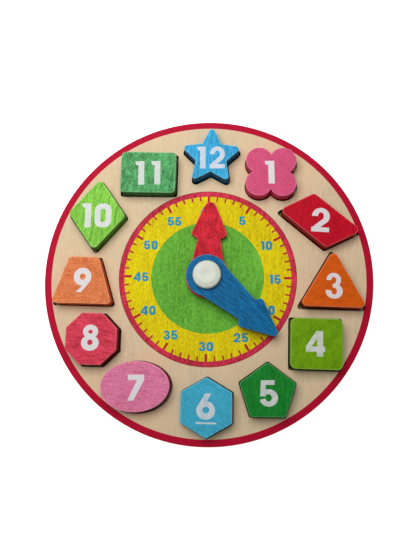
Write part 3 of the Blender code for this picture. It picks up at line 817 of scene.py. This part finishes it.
def painted(name, colour, look, side):
    """Satin paint over grain, whose look is its turn and sway, then how strong streaks, blotches and grit are.

    The sides are scorched and darkened by painted shade, and the rolled edges are paled, partly as thin, worn
    paint and partly as a painted highlight.
    """
    turn, sway, streak, blotch, grit = look
    material, tree, shader, coordinates = new_finish(name, roughness=0.45, gloss=0.08)
    grain = along_grain(tree, coordinates, turn, sway)
    fibre = noise(tree, grain, (1100, 95, 1100), 5.0, 0.68)
    cloud = noise(tree, grain, (260, 150, 260), 3.0, 0.6, 0.4)
    fleck = noise(tree, grain, (1300, 800, 1300), 3.0, 0.6)
    tone = spread(tree, [(fibre, streak), (cloud, blotch), (fleck, grit)])
    top = blend(tree, tone, deepened(colour), paled(colour))
    level = flatness(tree)
    # Sides darker than the top: scorched wood under the paint, with painted shade on top of the scorch.
    scorched_and_shaded_flank = blend(tree, remap(tree, cloud, 0.35, 0.65), charred_and_shaded(colour, side * 0.7), charred_and_shaded(colour, side * 1.4))
    body = blend(tree, remap(tree, level, 0.2, 0.5), scorched_and_shaded_flank, top)
    # Rolled edges paled: partly thin, worn paint and partly a painted highlight along the rim.
    ridge = maths(tree, "MULTIPLY", remap(tree, level, 0.4, 0.7), remap(tree, level, 0.998, 0.93))
    worn_and_highlit = maths(tree, "MULTIPLY", ridge, remap(tree, fleck, 0.35, 0.65, 0.5, 1.0))
    pale_edge_and_highlight = tuple(min(1.3 * channel + 0.13, 1.0) for channel in colour)
    tree.links.new(blend(tree, worn_and_highlit, body, pale_edge_and_highlight), shader.inputs["Base Color"])
    tree.links.new(remap(tree, fibre, 0.3, 0.7, 0.52, 0.40), shader.inputs["Roughness"])
    add_bump(tree, shader, maths(tree, "ADD", fibre, maths(tree, "MULTIPLY", fleck, 0.6)), 0.25, 0.05)
    return material


def screened(name, ink, paint_colour, tint, turn):
    """Screen ink that lets some of the block's paint through, more along its grain."""
    material, tree, shader, coordinates = new_finish(name, roughness=0.5, gloss=0.14)
    grain = along_grain(tree, coordinates, turn, 3.0)
    fibre = noise(tree, grain, (700, 110, 700), 4.0, 0.65)
    through = remap(tree, fibre, 0.35, 0.68, 0.3 * tint, 1.8 * tint)
    tree.links.new(blend(tree, through, ink, paint_colour), shader.inputs["Base Color"])
    add_bump(tree, shader, fibre, 0.15, 0.04)
    return material


def moulded(name, colour, roughness):
    """Moulded plastic with the faintest unevenness."""
    material, tree, shader, coordinates = new_finish(name, roughness, gloss=0.3)
    cloud = noise(tree, coordinates, (260, 260, 260), 3.0, 0.6)
    tree.links.new(blend(tree, cloud, shade(colour, 0.92), shade(colour, 1.06)), shader.inputs["Base Color"])
    fine = noise(tree, coordinates, (900, 900, 900), 2.0)
    tree.links.new(remap(tree, fine, 0.3, 0.7, roughness - 0.02, roughness + 0.02), shader.inputs["Roughness"])
    add_bump(tree, shader, cloud, 0.05, 0.05)
    return material


def give(node, material):
    """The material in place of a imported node's own."""
    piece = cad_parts[node]
    piece.data.materials.clear()
    piece.data.materials.append(material)


class CLOCK_OT_boards(bpy.types.Operator):
    """Finish the two boards and fill the glue line between them"""

    bl_idname = "clock.boards"
    bl_label = "Boards"

    def execute(self, context):
        """Plywood on both boards, and a thin ring of glue."""
        wood = tuple(context.scene.clock_paints.wood)
        give("face_board", plywood("face_plywood", wood, 1.4 * MM, 0.98 * BOARD_RADIUS))
        give("back_board", plywood("back_plywood", shade(wood, 0.94), 1.0 * MM, 0.0))
        glue = printed("glue_line", shade(wood, 0.35), 0.3)
        setback, width = 0.25 * MM, 3.75 * MM
        loops = [circle(BOARD_RADIUS - setback), circle(BOARD_RADIUS - setback - width)[::-1]]
        surface = slab(loops, [(0, GLUE_LOW), (0, GLUE_HIGH)])
        add_piece("glue_line", surface, "board", glue)
        return {"FINISHED"}


def lay_print(name, surface, colour, texture):
    """A print that lies on the face board and moves with it."""
    add_piece(name, surface, "board", printed(name, tuple(colour), texture))


def border_section(sizes):
    """Closed section of the border print, which follows the board's rolled edge."""
    roll = 0.8 * MM
    centre = (BOARD_RADIUS - roll, FACE_HEIGHT - roll)
    outside = arc(centre, roll + sizes.ink, 4, 90, 2 * ROLL_STEPS)
    inside = arc(centre, roll - 4 * sizes.ink, 90, 4, 2 * ROLL_STEPS)
    top = [(sizes.border_inner, FACE_HEIGHT + sizes.ink), (sizes.border_inner, FACE_HEIGHT - 4 * sizes.ink)]
    return np.concatenate([outside, top, inside])


class CLOCK_OT_prints(bpy.types.Operator):
    """Print the border, the dial, its ticks and its minutes on the face board"""

    bl_idname = "clock.prints"
    bl_label = "Prints"

    def execute(self, context):
        """One thin layer for each colour."""
        sizes = context.scene.clock_prints
        paints = context.scene.clock_paints
        low = FACE_HEIGHT - PRINT_SINK
        high = FACE_HEIGHT + sizes.ink
        lay_print("border_print", turned_surface(border_section(sizes), True), paints.border, 0.2)
        bands = [
            ("dial_ring_line", sizes.ring_outer, sizes.ring_outer + sizes.ring_line, paints.ring_line, 0.3),
            ("dial_ring", sizes.yellow_outer, sizes.ring_outer, paints.ring, 1.1),
            ("dial_minute_band", sizes.green_outer, sizes.yellow_outer, paints.yellow, 0.75),
            ("dial_middle", sizes.dial_hole, sizes.green_outer, paints.green, 0.75),
        ]
        for name, inner, outer, colour, texture in bands:
            surface = slab([circle(outer), circle(inner)[::-1]], [(0, low), (0, high)])
            lay_print(name, surface, colour, texture)
        ticks = []
        for minute in range(60):
            long = minute % 5 == 0
            reach = sizes.long_tick if long else sizes.short_tick
            half = (sizes.long_tick_width if long else sizes.short_tick_width) / 2
            loop = box_loop(-half, sizes.yellow_outer - reach, half, sizes.yellow_outer)
            ticks.append([turned(loop, -6 * minute)])
        lay_print("dial_ticks", film(ticks, low, high + sizes.ink), paints.tick, 0.3)
        minutes = []
        for text, centre in MINUTES.items():
            shapes, width = numeral(text, MINUTE_GAP)
            middled = [[loop - (width / 2, 0.5) for loop in shape] for shape in shapes]
            minutes += placed(middled, sizes.minute_height, 0.5, np.array(centre) * MM)
        layer = film(swollen(minutes, sizes.minute_swell), low, high + sizes.ink)
        lay_print("dial_minutes", layer, paints.minute, 0.5)
        return {"FINISHED"}


class CLOCK_OT_blocks(bpy.types.Operator):
    """Make the twelve painted blocks"""

    bl_idname = "clock.blocks"
    bl_label = "Blocks"

    def execute(self, context):
        """Each outline is turned, set on the middle of its node and given rolled edges."""
        sizes = context.scene.clock_blocks
        for node, outline, turn, *_ in BLOCKS:
            hour = node[6:8]
            loop = turned(outline(sizes.span), turn)
            lowest, highest = (np.array(corner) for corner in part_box(node))
            loop += (lowest + highest)[:2] / 2 - (loop.min(axis=0) + loop.max(axis=0)) / 2
            profile = rolled_profile(lowest[2], highest[2], sizes.edge_round, sizes.edge_flat)
            colour = tuple(getattr(context.scene.clock_paints, f"block_{hour}"))
            look, side, _ = LOOKS[hour]
            material = painted(node + "_paint", colour, look, side)
            block = add_piece("painted_" + node, slab([loop], profile), f"block_{hour}", material)
            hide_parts(node)
        return {"FINISHED"}


class CLOCK_OT_numerals(bpy.types.Operator):
    """Print the numerals on the blocks"""

    bl_idname = "clock.numerals"
    bl_label = "Block numerals"

    def execute(self, context):
        """Each numeral is stretched to its own width and height."""
        paints = context.scene.clock_paints
        for node, _, _, text, centre, size, turn in BLOCKS:
            hour = node[6:8]
            look, _, tint = LOOKS[hour]
            colour = tuple(getattr(paints, f"block_{hour}"))
            ink = screened(f"numeral_{hour}_ink", tuple(paints.numeral), colour, tint, look[0] + 45)
            shapes, width = numeral(text, DIGIT_GAPS.get(text, 0.0))
            middled = [[loop - (width / 2, 0.5) for loop in shape] for shape in shapes]
            scale = np.array(size) * MM / (width, 1.0)
            shapes = placed(middled, scale, turn, np.array(centre) * MM)
            if text == "6":
                bar_centre, bar_size = SIX_BAR
                shapes.append([box_corners(*bar_size) * MM + np.array(bar_centre) * MM])
            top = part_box(node)[1].z
            layer = film(shapes, top - PRINT_SINK, top + context.scene.clock_prints.ink)
            add_piece(f"numeral_{hour}", layer, f"block_{hour}", ink)
        return {"FINISHED"}


def hand_loop(hub, neck_share, notch, shoulder, head, reach, point):
    """A hand along +Y: round hub, tapering neck, barbed arrowhead with a rounded point.

    The apex is where the head's straight sides would meet: with slope k = point / shoulder and c = head - point
    it rises (c + sqrt(k^2 (c^2 - point^2) + point^2)) / (1 - k^2) above the shoulders.
    """
    neck = hub * neck_share
    leave = math.sqrt(hub**2 - neck**2)
    widest = reach - head
    slope = point / shoulder
    straight = head - point
    rise = (straight + math.sqrt(slope**2 * (straight**2 - point**2) + point**2)) / (1 - slope**2)
    right = [(neck, leave), (notch, widest - HAND_BARB), (shoulder, widest)]
    left = [(-across, up) for across, up in reversed(right)]
    side = [NECK_ROUND, HAND_NOTCH_ROUND, SHOULDER_ROUND]
    head_loop = rounded([*right, (0, widest + rise), *left], [*side, point, *reversed(side)])
    start = math.atan2(leave, -neck)
    end = math.atan2(leave, neck) + math.tau
    angle = np.linspace(start, end, ROUND_STEPS)[1:-1]
    hub_arc = hub * np.stack([np.cos(angle), np.sin(angle)], axis=1)
    return np.concatenate([head_loop, hub_arc])


class CLOCK_OT_hands(bpy.types.Operator):
    """Make the two painted hands"""

    bl_idname = "clock.hands"
    bl_label = "Hands"

    def execute(self, context):
        """Hour hand below, minute hand above, each with its hole."""
        sizes = context.scene.clock_hands
        paints = context.scene.clock_paints
        hour = hand_loop(sizes.hour_hub, 0.733, 7.6 * MM, 12.4 * MM, 22.7 * MM, sizes.hour_reach, 4.0 * MM)
        minute = hand_loop(sizes.minute_hub, 0.892, 8.3 * MM, 12.2 * MM, 22.4 * MM, sizes.minute_reach, 2.5 * MM)
        rows = [
            ("hour_hand", hour, -1.6, (1.6, 3, 0.8, 0.6, 0.9)),
            ("minute_hand", minute, -130.0, (130, 2, 1.1, 0.2, 0.5)),
        ]
        for node, outline, turn, look in rows:
            material = painted(node + "_paint", tuple(getattr(paints, node)), look, 0.8)
            lowest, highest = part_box(node)
            loops = [turned(outline, turn), circle(sizes.hole, ROUND_STEPS)[::-1]]
            profile = rolled_profile(lowest.z, highest.z, sizes.edge_round, 0.1 * MM)
            hand = add_piece("painted_" + node, slab(loops, profile), node, material)
            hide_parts(node)
        return {"FINISHED"}


def cap_section(sizes):
    """Half section of the cap from the end of its shank up over the rim to the middle of its dimple.

    The dimple's depth falls as half of one plus the cosine of the way out, and the crown as its square.
    """
    bottom = CAP_TOP - 4.4 * MM
    shank = 3.7 * MM
    lead_in = 0.6 * MM
    depth = 0.45 * MM
    rim = 1.9 * MM
    foot = 0.5 * MM
    crown = 0.5 * MM
    crown_end = sizes.cap_radius - rim
    shank_end = [(0, SHANK_END), (shank - lead_in, SHANK_END), (shank, SHANK_END + lead_in), (shank, bottom)]
    foot_arc = arc((sizes.cap_radius - foot, bottom + foot), foot, 270, 360)
    rim_arc = arc((crown_end, CAP_TOP - crown - rim), rim, 0, 90, 3 * ROLL_STEPS)
    share = np.linspace(1, 0, 10)[1:-1]
    out = sizes.cap_dimple + (crown_end - sizes.cap_dimple) * share
    crown_part = np.stack([out, CAP_TOP - crown * share**2], axis=1)
    share = np.linspace(1, 0, 20)
    fall = depth * (np.cos(math.pi * share) + 1) / 2
    dimple = np.stack([sizes.cap_dimple * share, CAP_TOP - fall], axis=1)
    return np.concatenate([shank_end, foot_arc, rim_arc, crown_part, dimple])


class CLOCK_OT_pivot(bpy.types.Operator):
    """Make the moulded cap and finish the sleeve"""

    bl_idname = "clock.pivot"
    bl_label = "Pivot"

    def execute(self, context):
        """A turned cap with a soft dimple."""
        colour = tuple(context.scene.clock_paints.cap)
        surface = turned_surface(cap_section(context.scene.clock_hands), False)
        cap = add_piece("moulded_cap", surface, "board", moulded("cap_plastic", colour, 0.28))
        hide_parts("pivot_cap")
        give("pivot_sleeve", moulded("sleeve_plastic", shade(colour, 0.95), 0.35))
        return {"FINISHED"}


def add_light(name, location, energy, size, target):
    """A soft square lamp that faces its target."""
    lamp = bpy.data.lights.new(name, "AREA")
    lamp.energy = energy
    lamp.size = size
    holder = bpy.data.objects.new(name, lamp)
    bpy.context.scene.collection.objects.link(holder)
    holder.location = location
    away = holder.location - Vector(target)
    holder.rotation_euler = away.to_track_quat("Z", "Y").to_euler()


class CLOCK_OT_stage(bpy.types.Operator):
    """Set up the floor, the light and the camera"""

    bl_idname = "clock.stage"
    bl_label = "Stage"

    def execute(self, context):
        """Pale floor, soft key light from the upper left, camera above and a little below the middle."""
        scene = context.scene
        half = 3.0
        mesh = bpy.data.meshes.new("floor")
        corners = raised(box_corners(2 * half, 2 * half), 0.0)
        mesh.from_pydata(corners.tolist(), [], [(0, 1, 2, 3)])
        floor = bpy.data.objects.new("floor", mesh)
        scene.collection.objects.link(floor)
        material, tree, shader, coordinates = new_finish("floor_paper", roughness=0.9, gloss=0.0)
        tone = tuple(scene.clock_paints.floor)
        cloud = noise(tree, coordinates, (3, 3, 3))
        tree.links.new(blend(tree, cloud, shade(tone, 0.99), tone), shader.inputs["Base Color"])
        shader.inputs["Emission Color"].default_value = (1, 1, 1, 1)
        shader.inputs["Emission Strength"].default_value = 0.9
        mesh.materials.append(material)
        world = bpy.data.worlds.new("studio")
        world.use_nodes = True
        background = world.node_tree.nodes["Background"]
        background.inputs["Color"].default_value = (1.0, 0.94, 0.90, 1.0)
        background.inputs["Strength"].default_value = 0.22
        scene.world = world
        add_light("key", location=(-0.12, 0.19, 0.44), energy=2.1, size=0.42, target=(-0.12, 0.19, 0.0))
        camera = bpy.data.cameras.new("camera")
        camera.lens = 37.30
        camera.sensor_width = 36.0
        camera.clip_start = 0.01
        holder = bpy.data.objects.new("camera", camera)
        scene.collection.objects.link(holder)
        holder.location = (15.48 * MM, -64.13 * MM, FACE_HEIGHT + 379.51 * MM)
        holder.rotation_euler = [math.radians(angle) for angle in (9.5977, 2.0974, 1.0699)]
        scene.camera = holder
        scene.view_settings.view_transform = "Standard"
        return {"FINISHED"}


STEPS = (
    CLOCK_OT_boards,
    CLOCK_OT_prints,
    CLOCK_OT_blocks,
    CLOCK_OT_numerals,
    CLOCK_OT_hands,
    CLOCK_OT_pivot,
    CLOCK_OT_stage,
)


class CLOCK_PT_panel(bpy.types.Panel):
    """Lists the clock's steps in the 3D view's sidebar"""

    bl_idname = "CLOCK_PT_panel"
    bl_label = "Clock shape sorter"
    bl_space_type = "VIEW_3D"
    bl_region_type = "UI"
    bl_category = "Clock"

    def draw(self, context):
        """One button for each step, then the sizes and paints."""
        for step in STEPS:
            self.layout.operator(step.bl_idname)
        for name in GROUPS:
            group = getattr(context.scene, name)
            for row in group.bl_rna.properties:
                if row.identifier not in ("rna_type", "name"):
                    self.layout.prop(group, row.identifier)


GROUPS = {
    "clock_prints": ClockPrintSizes,
    "clock_blocks": ClockBlockSizes,
    "clock_hands": ClockHandSizes,
    "clock_paints": ClockPaints,
}


def register():
    """Make the groups, operators and panel known to Blender."""
    for kind in (*GROUPS.values(), *STEPS, CLOCK_PT_panel):
        bpy.utils.register_class(kind)
    for name, kind in GROUPS.items():
        setattr(bpy.types.Scene, name, PointerProperty(type=kind))


def unregister():
    """Take them away again."""
    for name in GROUPS:
        delattr(bpy.types.Scene, name)
    for kind in (CLOCK_PT_panel, *reversed(STEPS), *reversed(GROUPS.values())):
        bpy.utils.unregister_class(kind)


def main():
    """Register the add-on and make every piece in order."""
    register()
    bpy.ops.clock.boards()
    bpy.ops.clock.prints()
    bpy.ops.clock.blocks()
    bpy.ops.clock.numerals()
    bpy.ops.clock.hands()
    bpy.ops.clock.pivot()
    bpy.ops.clock.stage()


if __name__ == "__main__":
    main()
